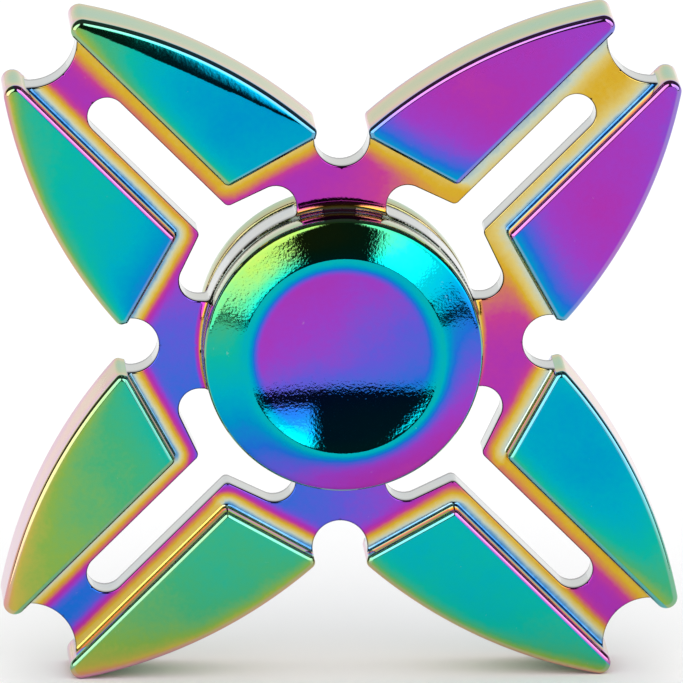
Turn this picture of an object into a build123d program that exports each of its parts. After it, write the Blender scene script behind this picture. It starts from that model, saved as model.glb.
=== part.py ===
from build123d import *
import os
from math import asin, cos, radians, sin, sqrt, tan

# Four-armed claw spinner, in millimetres. It stands on its two lower claw tips: +Z is up, the spin
# axis is Y, the front face looks towards -Y, and the origin is the centre of the bearing.

# ---- casting: one piece, the same front and back ----
ARMS = 4
FIRST_ARM_DEG = 45.0         # the arms lie on the diagonals, the necks on the X and Z axes
PLATE_T = 3.8                # web that joins the claws to the ring
PAD_T = 8.2                  # over the raised claw pads
RING_R = 13.3                # outside of the ring that holds the bearing
RING_T = 6.8
RING_CHAMFER = 0.25
RING_FOOT = 0.9              # hollow fillet between the ring and each neck

# Arm outline, in the arm's own frame: u runs outwards along the arm, v across it.
PAD_EDGE_V = 3.45            # straight edge of a claw pad, beside the slot
TIP_U = 43.35                # where that edge and the outer arc would meet, before rounding
CLAW_ARC_R = 47.6            # outer edge of a claw
CLAW_TIP_R = 1.1
PAD_INNER_U = 19.1           # inner corner of a claw pad
PAD_LEAN_DEG = 15.9          # lean of the pad's inner edge from square across the arm
PAD_CORNER_R = 0.6
PAD_BEVEL = 0.5
BRIDGE_ARC_U = 42.45         # centre of the hollow end of the bridge between two claws
BRIDGE_ARC_R = 4.5
SLOT_HALF_W = 1.85
SLOT_END_U = 31.95           # centre of the slot's round outer end
MOUTH_U = 17.4               # corner where the slot opens out along the ring
MOUTH_LEAN_DEG = 19.6
MOUTH_CORNER_R = 0.6
MOUTH_END_R = 2.0
MOUTH_ROOT_R = 0.5
MOUTH_LIP = 0.2              # the web stands this far out past the ring inside each mouth

# Neck, measured along its own axis and off to one side of it.
NECK_HALF_W = 4.35
NOTCH_AT = 20.2              # centre of the round notch at the neck's outer end
NOTCH_R = 2.65
HEEL_OFF = 2.35              # corner where the notch meets the claw's outer edge
HEEL_R = 0.65

# ---- ball bearing, size 608 ----
BORE_R = 4.0
OUTSIDE_R = 11.0
BEARING_W = 7.0
BALLS = 7
BALL_R = 3.969 / 2
PITCH_R = 7.5
GROOVE_R = 2.05
BALL_PLAY = 0.01             # radial play of a ball in each race
INNER_LAND_R = 6.05
OUTER_LAND_R = 9.2
SEAT_R = 9.9                 # counterbore that a shield drops into
SHIELD_R = (6.4, 9.85)
SHIELD_Y = (2.9, 3.15)
SNAP_GROOVE_R = 10.15
SNAP_R = (9.35, 10.1)
SNAP_Y = (3.17, 3.4)
SNAP_GAP = 2.2
CAGE_R = (6.75, 8.25)
CAGE_T = 0.4                 # one half of the riveted ribbon cage
POCKET_R = BALL_R + 0.1
POCKET_T = 0.35
RIVET_R = 0.22
RIVET_HEAD_R = 0.42
RIVET_HEAD_T = 0.2

# ---- finger caps and the grub screw that joins them ----
CAP_R = 13.45
CAP_UNDER_Y = 3.75           # underside, clear of the ring and of the bearing's outer race
CAP_EDGE_Y = 6.9             # where the side wall meets the bevel
CAP_EDGE_R = 0.3
RIM_R = 9.75                 # highest circle of the cap, around the finger dish
RIM_LAND = 0.3               # flat land on that circle
RIM_Y = 7.7
DISH_DEPTH = 1.0
BOSS_R = 5.7                 # bears on the inner race only
POST_R = BORE_R - 0.01
POST_END_Y = 0.15
SCREW_R = 2.5
SCREW_END_Y = 4.6
SOCKET_ACROSS = 2.5
SOCKET_DEPTH = 2.4
TAP_R = SCREW_R + 0.02
TAP_END_Y = 5.0

HEEL_AT = NOTCH_AT + sqrt(NOTCH_R ** 2 - HEEL_OFF ** 2)
ARM_ANGLES = [FIRST_ARM_DEG + 360 / ARMS * k for k in range(ARMS)]
BALL_PITCH_DEG = 360 / BALLS
BALL_ANGLES = [BALL_PITCH_DEG * (k + 0.5) for k in range(BALLS)]     # the same pattern turned over


# ---- helpers ----
def from_neck(along, off):
    """A point measured from the neck axis, given in the frame of the arm beside it."""
    return Vector(along + off, along - off) / sqrt(2)


def across(point):
    """The same point on the other side of the arm."""
    return Vector(point.X, -point.Y)


def round_corner(face, point, radius):
    """Round the corners of a flat face at a point and at its mirror image across the arm."""
    for place in (point, across(point)):
        nearest = face.vertices().sort_by_distance(place)[0]
        face = fillet(nearest, radius)
    return face


def in_front_plane(sketch, depth):
    """Extrude a sketch drawn in (x, z) equally to the front and to the back."""
    return extrude(Plane.XZ * sketch, depth / 2, both=True)


def ring_solid(r_in, r_out, y0, y1):
    """A plain ring about the spin axis; r_in may be zero."""
    height = y1 - y0
    solid = Cylinder(r_out, height)
    if r_in > 0:
        solid -= Cylinder(r_in, height * 2)
    return Pos(0, (y0 + y1) / 2, 0) * Rot(90, 0, 0) * solid


def turned(points):
    """Turn a closed (radius, y) profile about the spin axis."""
    profile = make_face(Polyline(points, close=True))
    return revolve(profile, Axis.Y)


def to_front(shape):
    return Rot(180, 0, 0) * shape


def both_sides(shape):
    """A rear shape and the same shape turned round to the front."""
    return [shape, to_front(shape)]


def save(shape, node):
    export_step(shape, f"parts/{node}.step")


# ---- casting ----
def outline():
    """Outer outline of the whole casting."""
    bottom = from_neck(NOTCH_AT - NOTCH_R, 0)
    side = from_neck(NOTCH_AT, NOTCH_R)
    heel = from_neck(HEEL_AT, HEEL_OFF)
    tip = Vector(TIP_U, PAD_EDGE_V)
    bridge_u = BRIDGE_ARC_U - sqrt(BRIDGE_ARC_R ** 2 - PAD_EDGE_V ** 2)
    bridge = Vector(bridge_u, PAD_EDGE_V)
    upper = [
        Line(bridge, tip),
        RadiusArc(tip, heel, -CLAW_ARC_R),
        ThreePointArc(heel, side, bottom),
    ]
    lower = [mirror(edge, Plane.XZ) for edge in upper]
    hollow = ThreePointArc(bridge, (BRIDGE_ARC_U - BRIDGE_ARC_R, 0), across(bridge))
    arm_edges = Curve() + upper + lower + hollow
    edges = Curve() + [Rot(0, 0, a) * arm_edges for a in ARM_ANGLES]
    face = make_face(edges)
    for angle in ARM_ANGLES:
        turn = Rot(0, 0, angle)
        for corner, radius in ((tip, CLAW_TIP_R), (heel, HEEL_R)):
            for place in (corner, across(corner)):
                at = (turn * Pos(place)).position
                face = fillet(face.vertices().sort_by_distance(at)[0], radius)
    return face


def opening():
    """One arm's slot, with its mouth running along the ring."""
    corner = Vector(MOUTH_U, SLOT_HALF_W)
    off_of_corner = (corner.X - corner.Y) / sqrt(2)
    along_of_corner = (corner.X + corner.Y) / sqrt(2)
    rise = tan(radians(45 - MOUTH_LEAN_DEG))
    end = from_neck(along_of_corner + (off_of_corner - NECK_HALF_W) * rise, NECK_HALF_W)
    mouth_r = RING_R + MOUTH_LIP
    root = from_neck(sqrt(mouth_r ** 2 - NECK_HALF_W ** 2), NECK_HALF_W)
    slot_end = Vector(SLOT_END_U, SLOT_HALF_W)
    upper = [Polyline(slot_end, corner, end, root)]
    lower = [mirror(edge, Plane.XZ) for edge in upper]
    ring_side = ThreePointArc(root, (mouth_r, 0), across(root))
    round_end = ThreePointArc(slot_end, (SLOT_END_U + SLOT_HALF_W, 0), across(slot_end))
    face = make_face(Curve() + upper + lower + ring_side + round_end)
    face = round_corner(face, corner, MOUTH_CORNER_R)
    face = round_corner(face, end, MOUTH_END_R)
    return round_corner(face, root, MOUTH_ROOT_R)


def pad_wedge():
    """Everything beside one claw's straight edges, on one side of the arm."""
    inner = Vector(PAD_INNER_U, PAD_EDGE_V)
    lean = radians(PAD_LEAN_DEG)
    reach = (inner.X - inner.Y) / (cos(lean) + sin(lean))
    on_neck_axis = inner + Vector(-sin(lean), cos(lean)) * reach
    beyond = 1.5 * TIP_U
    corners = [inner, (beyond, PAD_EDGE_V), (beyond, beyond), on_neck_axis]
    face = make_face(Polyline(corners, close=True))
    return fillet(face.vertices().sort_by_distance(inner)[0], PAD_CORNER_R)


def pads(whole):
    """Raised claws: two on each arm, front and back faces bevelled all round."""
    solids = []
    wedge = pad_wedge()
    for angle in ARM_ANGLES:
        for half in (wedge, mirror(wedge, Plane.XZ)):
            claw = in_front_plane(whole & (Rot(0, 0, angle) * half), PAD_T)
            rims = claw.faces().sort_by(Axis.Y)
            edges = rims[0].edges() + rims[-1].edges()
            solids.append(chamfer(edges, PAD_BEVEL))
    return solids


def ring():
    """Ring around the bearing, proud of the web on both faces."""
    half = RING_T / 2
    c = RING_CHAMFER
    profile = [
        (OUTSIDE_R, -half), (RING_R - c, -half), (RING_R, -half + c),
        (RING_R, half - c), (RING_R - c, half), (OUTSIDE_R, half),
    ]
    return turned(profile)


def ring_foot():
    """Hollow fillet between web and ring, turned all round; the web's outline trims it."""
    top = PLATE_T / 2 + RING_FOOT
    web = PLATE_T / 2
    inside = RING_R - 1
    swing = RING_FOOT * (1 - sqrt(0.5))
    profile = make_face([
        Polyline((RING_R + RING_FOOT, web), (RING_R + RING_FOOT, 0), (inside, 0), (inside, top), (RING_R, top)),
        ThreePointArc((RING_R, top), (RING_R + swing, web + swing), (RING_R + RING_FOOT, web)),
    ])
    return revolve(profile, Axis.Y)


def spinner_body():
    whole = outline()
    web_face = whole
    for angle in ARM_ANGLES:
        web_face -= Rot(0, 0, angle) * opening()
    body = in_front_plane(web_face, PLATE_T)
    trimmed_foot = ring_foot() & in_front_plane(web_face, PAD_T)
    for foot in both_sides(trimmed_foot):
        body += foot
    body += ring()
    for pad in pads(whole):
        body += pad
    return body - ring_solid(0, OUTSIDE_R, -PAD_T, PAD_T)


# ---- bearing ----
def raceway(land_r, groove_at, other_r):
    """Race blank between two radii, with the ball groove turned in."""
    half = BEARING_W / 2
    low, high = sorted((land_r, other_r))
    blank = ring_solid(low, high, -half, half)
    edges = blank.edges().filter_by(GeomType.CIRCLE).filter_by(lambda e: abs(e.radius - other_r) < 0.01)
    blank = chamfer(edges, 0.3)
    groove = revolve(Pos(groove_at, 0, 0) * Circle(GROOVE_R), Axis.Y)
    return blank - groove


def inner_race():
    bottom = PITCH_R - BALL_R - BALL_PLAY
    return raceway(INNER_LAND_R, bottom + GROOVE_R, BORE_R)


def outer_race():
    bottom = PITCH_R + BALL_R + BALL_PLAY
    race = raceway(OUTER_LAND_R, bottom - GROOVE_R, OUTSIDE_R)
    for seat in both_sides(ring_solid(0, SEAT_R, SHIELD_Y[0], BEARING_W)):
        race -= seat
    for groove in both_sides(ring_solid(0, SNAP_GROOVE_R, SHIELD_Y[1], SNAP_Y[1] + 0.02)):
        race -= groove
    return race


def ball(angle):
    return Rot(0, angle, 0) * Pos(PITCH_R, 0, 0) * Rot(90, 0, 0) * Sphere(BALL_R)


def cage_half():
    """Pressed ribbon on the +Y side of the ball centres, with domed pockets over the balls."""
    band = ring_solid(*CAGE_R, 0, BALL_R + 1)
    ribbon = ring_solid(*CAGE_R, 0, CAGE_T)
    for angle in BALL_ANGLES:
        place = Rot(0, angle, 0) * Pos(PITCH_R, 0, 0)
        ribbon += (place * Sphere(POCKET_R + POCKET_T)) & band
    for angle in BALL_ANGLES:
        place = Rot(0, angle, 0) * Pos(PITCH_R, 0, 0)
        ribbon -= place * Sphere(POCKET_R)
    for angle in BALL_ANGLES:
        between = Rot(0, angle + BALL_PITCH_DEG / 2, 0) * Pos(PITCH_R, 0, 0) * Rot(90, 0, 0)
        ribbon -= between * Cylinder(RIVET_R, 3 * CAGE_T)
    return ribbon


def cage_rivets():
    """One headed rivet between each two balls, through both cage halves."""
    rivets = []
    for angle in BALL_ANGLES:
        rivet = Cylinder(RIVET_R, 2 * CAGE_T)
        for side in (-1, 1):
            head = Pos(0, 0, side * (CAGE_T + RIVET_HEAD_T / 2))
            rivet += head * Cylinder(RIVET_HEAD_R, RIVET_HEAD_T)
        place = Rot(0, angle + BALL_PITCH_DEG / 2, 0) * Pos(PITCH_R, 0, 0) * Rot(90, 0, 0)
        rivets.append(place * rivet)
    return Compound(rivets)


def shield():
    return ring_solid(*SHIELD_R, *SHIELD_Y)


def snap_ring():
    """C-shaped spring ring that keeps a shield in, with its gap at the bottom."""
    ring_shape = ring_solid(*SNAP_R, *SNAP_Y)
    return ring_shape - Pos(0, SNAP_Y[0], -SNAP_R[1]) * Box(SNAP_GAP, 1, 3)


# ---- caps and screw ----
def cap():
    """Rear finger cap: bevelled rim, hollow finger dish, boss and tapped post."""
    dish_r = RIM_R - RIM_LAND
    dish_floor = RIM_Y - DISH_DEPTH
    sphere_r = (dish_r ** 2 + DISH_DEPTH ** 2) / (2 * DISH_DEPTH)
    half_swing = asin(dish_r / sphere_r) / 2
    on_dish = (sphere_r * sin(half_swing), dish_floor + sphere_r * (1 - cos(half_swing)))
    profile = make_face([
        Polyline(
            (0, POST_END_Y), (POST_R, POST_END_Y), (POST_R, BEARING_W / 2),
            (BOSS_R, BEARING_W / 2), (BOSS_R, CAP_UNDER_Y), (CAP_R, CAP_UNDER_Y),
            (CAP_R, CAP_EDGE_Y), (RIM_R, RIM_Y), (dish_r, RIM_Y),
        ),
        ThreePointArc((dish_r, RIM_Y), on_dish, (0, dish_floor)),
        Line((0, dish_floor), (0, POST_END_Y)),
    ])
    edge = profile.vertices().sort_by_distance((CAP_R, CAP_EDGE_Y))[0]
    body = revolve(fillet(edge, CAP_EDGE_R), Axis.Y)
    return body - ring_solid(0, TAP_R, 0, TAP_END_Y)


def axle_screw():
    """Grub screw that pulls the two caps together, with a hexagon socket at its front end."""
    body = ring_solid(0, SCREW_R, -SCREW_END_Y, SCREW_END_Y)
    socket = extrude(RegularPolygon(SOCKET_ACROSS / 2, 6, major_radius=False), SOCKET_DEPTH)
    return body - Pos(0, -SCREW_END_Y, 0) * Rot(-90, 0, 0) * socket


# ---- write every piece ----
os.makedirs("parts", exist_ok=True)
save(spinner_body(), "spinner_body")
save(inner_race(), "inner_race")
save(outer_race(), "outer_race")
for number, ball_angle in enumerate(BALL_ANGLES, start=1):
    save(ball(ball_angle), f"ball_{number}")
save(cage_rivets(), "cage_rivets")
save(axle_screw(), "axle_screw")
for name, shape in (("cap", cap()), ("cage_half", cage_half()), ("shield", shield()), ("snap_ring", snap_ring())):
    save(shape, f"rear_{name}")
    save(to_front(shape), f"front_{name}")
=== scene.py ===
from collections import namedtuple
from math import acos, asin, atan2, cos, hypot, pi, radians, sin, sqrt, tan

import bpy
import numpy as np
from mathutils import Matrix, Vector, geometry, kdtree


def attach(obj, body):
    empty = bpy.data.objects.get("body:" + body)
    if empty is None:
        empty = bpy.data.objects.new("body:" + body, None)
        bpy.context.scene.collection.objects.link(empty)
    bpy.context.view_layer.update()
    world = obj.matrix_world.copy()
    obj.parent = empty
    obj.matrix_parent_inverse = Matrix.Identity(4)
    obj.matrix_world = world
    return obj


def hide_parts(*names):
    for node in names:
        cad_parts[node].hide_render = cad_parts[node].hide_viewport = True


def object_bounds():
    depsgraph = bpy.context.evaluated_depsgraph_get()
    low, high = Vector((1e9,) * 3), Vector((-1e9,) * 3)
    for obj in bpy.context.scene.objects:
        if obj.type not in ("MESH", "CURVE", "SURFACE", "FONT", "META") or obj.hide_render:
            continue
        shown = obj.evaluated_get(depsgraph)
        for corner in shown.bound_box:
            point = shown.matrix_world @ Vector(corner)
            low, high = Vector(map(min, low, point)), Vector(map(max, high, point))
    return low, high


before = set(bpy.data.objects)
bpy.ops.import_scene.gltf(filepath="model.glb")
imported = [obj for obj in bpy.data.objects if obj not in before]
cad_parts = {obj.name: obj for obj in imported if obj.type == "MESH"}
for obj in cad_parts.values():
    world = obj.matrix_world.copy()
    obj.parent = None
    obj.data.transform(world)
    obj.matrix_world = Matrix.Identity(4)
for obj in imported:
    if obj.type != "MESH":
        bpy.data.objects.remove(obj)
CAD_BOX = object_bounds()
MM = 0.001

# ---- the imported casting's dimensions, in millimetres, in the frame of one arm ----
ARMS = 4
FIRST_ARM_DEG = 45.0
WEB_HALF_T = 1.9
PAD_HALF_T = 4.1
RING_HALF_T = 3.4
BORE_R = 11.0
RING_R = 13.3
RING_CHAMFER = 0.25
RING_FOOT = 0.9
PAD_EDGE_V = 3.45
TIP_U = 43.35
CLAW_ARC_R = 47.6
CLAW_TIP_R = 1.1
PAD_INNER_U = 19.1
PAD_LEAN_DEG = 15.9
PAD_CORNER_R = 0.6
BRIDGE_ARC_U = 42.45
BRIDGE_ARC_R = 4.5
SLOT_HALF_W = 1.85
SLOT_END_U = 31.95
MOUTH_U = 17.4
MOUTH_LEAN_DEG = 19.6
MOUTH_CORNER_R = 0.6
MOUTH_END_R = 2.0
MOUTH_ROOT_R = 0.5
MOUTH_RING_R = RING_R + 0.2
NECK_HALF_W = 4.35
NOTCH_AT = 20.2
NOTCH_R = 2.65
HEEL_OFF = 2.35
HEEL_R = 0.65

# ---- softer edges of the looks model ----
BEVEL_W = 0.55               # rolled edge of a claw pad, across its face
BEVEL_DROP = 0.55
PAD_FOOT_R = 0.38            # hollow fillet where a pad rises from the web
WEB_EDGE_R = 0.18            # rolled edge of the web beside every opening
WALL_GAP = 0.012             # half the width of the strip that stands for an upright wall
STEP = 0.32                  # spacing of mesh points along an edge
FINE_STEP = 0.13             # the same on small corners
ARC_STEP = 0.2               # and on the arcs at a notch, a slot's end and the bridge
FILL = 0.62                  # spacing of mesh points on open faces
FIELD_GAP = 0.6              # those points keep this share of FILL clear around them
OUTLINE_GAP = 0.5            # and this share of it clear of the outline
ROW_GAP = 0.03               # no two mesh points come closer than this, walls apart
ROW_SLACK = 0.01             # a row's point may be this much nearer its edge than the row
PAD_CLEAR = 0.03             # rows on the web end this far short of a pad
WALL_PAST = 0.1              # the strips at a pad's foot run on this far past the outline
RING_PAST = 0.01             # the ring's strips pass a half arm's two axes by this angle, its rows stop short
MERGE_GRID = 1e4             # mesh points that agree when multiplied by this and rounded are one
ON_PAD = -WALL_GAP / 2       # a point whose distance inside a pad is above this belongs to the pad
PAD_ROWS = (0.035, 0.075, 0.12, 0.18, 0.25, 0.33, 0.41, 0.48, 0.55, 0.7, 0.95, 1.3, 1.7, 2.2)
FOOT_ROWS = (0.05, 0.12, 0.22, 0.38)
EDGE_ROWS = (0.04, 0.1, 0.18)
RING_ROWS = (12.0, 12.9, 13.05, 13.36, 13.45, 13.6, 13.8, 14.2)
WALL_SHARES = (0.0, 0.03, 0.07, 0.2, 0.4, 0.6, 0.8, 0.93, 0.97, 1.0)     # rows on an upright wall
CROWN_DROP = 0.05            # how far a pad's face falls away at its edges
CROWN_REACH = 0.8
CROWN_SOFT = 0.9             # rounding where two sides' falls meet
ROLL_W = 1.9                 # widest part of the facet rolled over at a pad's outer edge
ROLL_SOFT = 0.12             # rounding of the crease where that facet begins
NORMAL_STEP = 0.0005         # distance over which slopes are measured

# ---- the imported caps' profile, in millimetres ----
CAP_R = 13.45
CAP_UNDER_Y = 3.75
CAP_EDGE_Y = 6.9
RIM_R = 9.75
RIM_LAND = 0.3
RIM_Y = 7.7
DISH_DEPTH = 1.0
BOSS_R = 5.7
BEARING_HALF_W = 3.5
POST_R = 3.99
POST_END_Y = 0.15
TAP_R = 2.52
TAP_END_Y = 5.0
CAP_SEGMENTS = 288


# ---- outline of one half arm: u runs out along the arm, v across it ----
def polar(centre, radius, angle):
    return np.array([centre[0] + radius * cos(angle), centre[1] + radius * sin(angle)])


def from_neck(along, off):
    """A point measured along the neck axis and off to the side of the arm."""
    return np.array([along + off, along - off]) / sqrt(2)


def arc(centre, radius, start, end, step=STEP):
    """Points from one point to another round a centre, the short way."""
    a = atan2(start[1] - centre[1], start[0] - centre[0])
    b = atan2(end[1] - centre[1], end[0] - centre[0])
    swing = (b - a + pi) % (2 * pi) - pi
    count = max(3, int(abs(swing) * radius / step) + 1)
    return [polar(centre, radius, a + swing * k / count) for k in range(count + 1)]


def line(start, end, step=STEP):
    count = max(1, int(np.linalg.norm(end - start) / step))
    return [start + (end - start) * k / count for k in range(count + 1)]


def corner_fillet(corner, before, after, radius):
    """Points round a corner between two straight edges that leave it along before and after."""
    half = acos(np.clip(before @ after, -1, 1)) / 2
    middle = (before + after) / np.linalg.norm(before + after)
    centre = corner + middle * radius / sin(half)
    reach = radius / tan(half)
    return arc(centre, radius, corner + before * reach, corner + after * reach, FINE_STEP)


def circles_meet(centre_a, radius_a, centre_b, radius_b, near):
    """Where two circles cross, on the side nearer to a point."""
    gap = centre_b - centre_a
    dist = np.linalg.norm(gap)
    along = (radius_a ** 2 - radius_b ** 2 + dist ** 2) / (2 * dist)
    aside = sqrt(radius_a ** 2 - along ** 2)
    axis = gap / dist
    found = [centre_a + axis * along + side * aside * np.array([-axis[1], axis[0]]) for side in (-1, 1)]
    return min(found, key=lambda p: np.linalg.norm(p - near))


def joined(*runs):
    """One path from several, without the doubled points where they meet."""
    path = [runs[0][0]]
    for run in runs:
        for point in run:
            if np.linalg.norm(point - path[-1]) > 1e-6:
                path.append(point)
    return np.array(path)


NOTCH_C = from_neck(NOTCH_AT, 0)
HEEL = from_neck(NOTCH_AT + sqrt(NOTCH_R ** 2 - HEEL_OFF ** 2), HEEL_OFF)
TIP = np.array([TIP_U, PAD_EDGE_V])
CHORD = HEEL - TIP
CHORD_L = hypot(*CHORD)
CHORD_OUT = np.array([CHORD[1], -CHORD[0]]) / CHORD_L
CLAW_C = (HEEL + TIP) / 2 - CHORD_OUT * sqrt(CLAW_ARC_R ** 2 - CHORD_L ** 2 / 4)
LEAN = np.array([-sin(radians(PAD_LEAN_DEG)), cos(radians(PAD_LEAN_DEG))])
LEAN_NORMAL = np.array([LEAN[1], -LEAN[0]])
PAD_INNER = np.array([PAD_INNER_U, PAD_EDGE_V])
ALONG = np.array([1.0, 0.0])
CENTRE = np.zeros(2)
PAD_CORNER = corner_fillet(PAD_INNER, LEAN, ALONG, PAD_CORNER_R)
BRIDGE_U = BRIDGE_ARC_U - sqrt(BRIDGE_ARC_R ** 2 - PAD_EDGE_V ** 2)      # where its arc meets a pad


def claw_edge():
    """Outer edge of a claw from the end of its straight edge, round the tip and heel, to the notch."""
    tip_v = PAD_EDGE_V + CLAW_TIP_R
    inside = CLAW_ARC_R - CLAW_TIP_R
    tip_c = np.array([CLAW_C[0] + sqrt(inside ** 2 - (tip_v - CLAW_C[1]) ** 2), tip_v])
    tip_out = CLAW_C + (tip_c - CLAW_C) / inside * CLAW_ARC_R
    heel_c = circles_meet(CLAW_C, CLAW_ARC_R - HEEL_R, NOTCH_C, NOTCH_R + HEEL_R, HEEL)
    heel_out = CLAW_C + (heel_c - CLAW_C) / (CLAW_ARC_R - HEEL_R) * CLAW_ARC_R
    heel_in = NOTCH_C + (heel_c - NOTCH_C) / (NOTCH_R + HEEL_R) * NOTCH_R
    tip_in = np.array([tip_c[0], PAD_EDGE_V])
    return joined(
        arc(tip_c, CLAW_TIP_R, tip_in, tip_out, FINE_STEP),
        arc(CLAW_C, CLAW_ARC_R, tip_out, heel_out),
        arc(heel_c, HEEL_R, heel_out, heel_in, FINE_STEP),
    )


def notch_edge(start, end):
    return arc(NOTCH_C, NOTCH_R, start, end, ARC_STEP)


def lean_end():
    """Where a pad's leaning edge runs out into the notch."""
    to_notch = NOTCH_C - PAD_INNER
    along = to_notch @ LEAN
    off = to_notch @ LEAN_NORMAL
    return PAD_INNER + LEAN * (along - sqrt(NOTCH_R ** 2 - off ** 2))


def pad_outline():
    """Closed outline of one claw pad."""
    edge = claw_edge()
    end = lean_end()
    return joined(
        PAD_CORNER, line(PAD_CORNER[-1], edge[0]), edge,
        notch_edge(edge[-1], end), line(end, PAD_CORNER[0]),
    )[:-1]


def opening_edge():
    """One side of a slot and its mouth, from the ring's side on the arm axis out to the slot's end."""
    mouth = np.array([MOUTH_U, SLOT_HALF_W])
    lean = radians(MOUTH_LEAN_DEG)
    mouth_dir = np.array([-sin(lean), cos(lean)])
    neck_dir = np.array([1.0, 1.0]) / sqrt(2)
    off = (mouth[0] - mouth[1]) / sqrt(2)
    slope = (mouth_dir[0] - mouth_dir[1]) / sqrt(2)
    end = mouth + mouth_dir * (NECK_HALF_W - off) / slope
    root_off = NECK_HALF_W + MOUTH_ROOT_R
    root_c = from_neck(sqrt((MOUTH_RING_R + MOUTH_ROOT_R) ** 2 - root_off ** 2), root_off)
    on_ring = root_c / np.linalg.norm(root_c) * MOUTH_RING_R
    on_neck = root_c + np.array([-1.0, 1.0]) / sqrt(2) * MOUTH_ROOT_R
    end_round = corner_fillet(end, -neck_dir, -mouth_dir, MOUTH_END_R)
    corner_round = corner_fillet(mouth, mouth_dir, ALONG, MOUTH_CORNER_R)
    slot_c = np.array([SLOT_END_U, 0.0])
    slot_top = np.array([SLOT_END_U, SLOT_HALF_W])
    return joined(
        arc(CENTRE, MOUTH_RING_R, np.array([MOUTH_RING_R, 0.0]), on_ring),
        arc(root_c, MOUTH_ROOT_R, on_ring, on_neck, FINE_STEP),
        line(on_neck, end_round[0]), end_round,
        line(end_round[-1], corner_round[0]), corner_round,
        line(corner_round[-1], slot_top),
        arc(slot_c, SLOT_HALF_W, slot_top, slot_c + ALONG * SLOT_HALF_W, ARC_STEP),
    )


def outer_edge():
    """Outer outline of a half arm, from the bridge's middle to the notch's bottom on the neck axis."""
    bridge_c = np.array([BRIDGE_ARC_U, 0.0])
    bridge = np.array([BRIDGE_U, PAD_EDGE_V])
    edge = claw_edge()
    return joined(
        arc(bridge_c, BRIDGE_ARC_R, bridge_c - ALONG * BRIDGE_ARC_R, bridge, ARC_STEP),
        line(bridge, edge[0]), edge,
        notch_edge(edge[-1], from_neck(NOTCH_AT - NOTCH_R, 0)),
    )


def half_arm():
    """Closed outline of the half arm between the arm axis and the neck axis."""
    bore_neck = from_neck(BORE_R, 0)
    bore_arm = ALONG * BORE_R
    return joined(
        FREE_EDGE, line(FREE_EDGE[-1], bore_neck), arc(CENTRE, BORE_R, bore_neck, bore_arm),
        line(bore_arm, OPENING_PATH[0]), OPENING_PATH, line(OPENING_PATH[-1], FREE_EDGE[0]),
    )[:-1]


# ---- distances ----
def distance_to(points, path, closed):
    """Distance from each point to a path."""
    ends = np.roll(path, -1, axis=0) if closed else path[1:]
    starts = path if closed else path[:-1]
    best = np.full(len(points), 1e9)
    for a, b in zip(starts, ends):
        d = b - a
        t = np.clip(((points - a) @ d) / (d @ d), 0, 1)
        gap = points - a - t[:, None] * d
        best = np.minimum(best, np.einsum("ij,ij->i", gap, gap))
    return np.sqrt(best)


def inside(points, outline):
    """Which points lie inside a closed outline."""
    x, y = points[:, 0], points[:, 1]
    result = np.zeros(len(points), bool)
    for (x0, y0), (x1, y1) in zip(outline, np.roll(outline, -1, axis=0)):
        if y0 == y1:
            continue
        crosses = (y0 > y) != (y1 > y)
        result ^= crosses & (x < x0 + (y - y0) / (y1 - y0) * (x1 - x0))
    return result


def signed(points, outline):
    """Distance to a closed outline, above zero inside it."""
    dist = distance_to(points, outline, True)
    return np.where(inside(points, outline), dist, -dist)


def smooth_least(values, softness):
    """The least of several distances, rounded where two are near each other."""
    stack = np.array(values) / softness
    low = stack.min(0)
    return softness * (low - np.log(np.exp(low - stack).sum(0)))


def ease(x):
    x = np.clip(x, 0, 1)
    return x * x * (3 - 2 * x)


# ---- height of the front face above the middle plane ----
PAD_PATH = pad_outline()
FREE_EDGE = outer_edge()
OPENING_PATH = opening_edge()


def pad_sides(p):
    """Distance in from a claw's straight edge, leaning edge and curved outer edge."""
    slot = p[:, 1] - PAD_EDGE_V
    lean = (p - PAD_INNER) @ LEAN_NORMAL
    outer = CLAW_ARC_R - np.linalg.norm(p - CLAW_C, axis=1)
    return slot, lean, outer


def free_edge_gap(p):
    """Distance to the nearest edge that is open to the air, outside or in a slot."""
    return np.minimum(distance_to(p, FREE_EDGE, False), distance_to(p, OPENING_PATH, False))


def base_height(p, pad_d):
    """Height of web, ring and level pads above the casting's middle plane."""
    roll = np.clip(WEB_EDGE_R - free_edge_gap(p), 0, WEB_EDGE_R)
    web = WEB_HALF_T - WEB_EDGE_R + np.sqrt(WEB_EDGE_R ** 2 - roll ** 2)
    foot = np.clip(pad_d + PAD_FOOT_R, 0, PAD_FOOT_R)
    web = web + PAD_FOOT_R - np.sqrt(PAD_FOOT_R ** 2 - foot ** 2)
    radius = np.linalg.norm(p, axis=1)
    ring_foot = np.clip(RING_R + RING_FOOT - radius, 0, RING_FOOT * 0.999)
    raised = web + RING_FOOT - np.sqrt(RING_FOOT ** 2 - ring_foot ** 2)
    web = np.where(radius < RING_R + RING_FOOT, raised, web)
    chamfer = np.clip(radius - (RING_R - RING_CHAMFER), 0, RING_CHAMFER)
    height = np.where(radius < RING_R, RING_HALF_T - chamfer, web)
    inward = np.clip(BEVEL_W - pad_d, 0, BEVEL_W) / BEVEL_W
    pad = PAD_HALF_T - BEVEL_DROP + BEVEL_DROP * np.sqrt(1 - inward ** 2)
    return np.where(pad_d > ON_PAD, pad, height)


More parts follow.
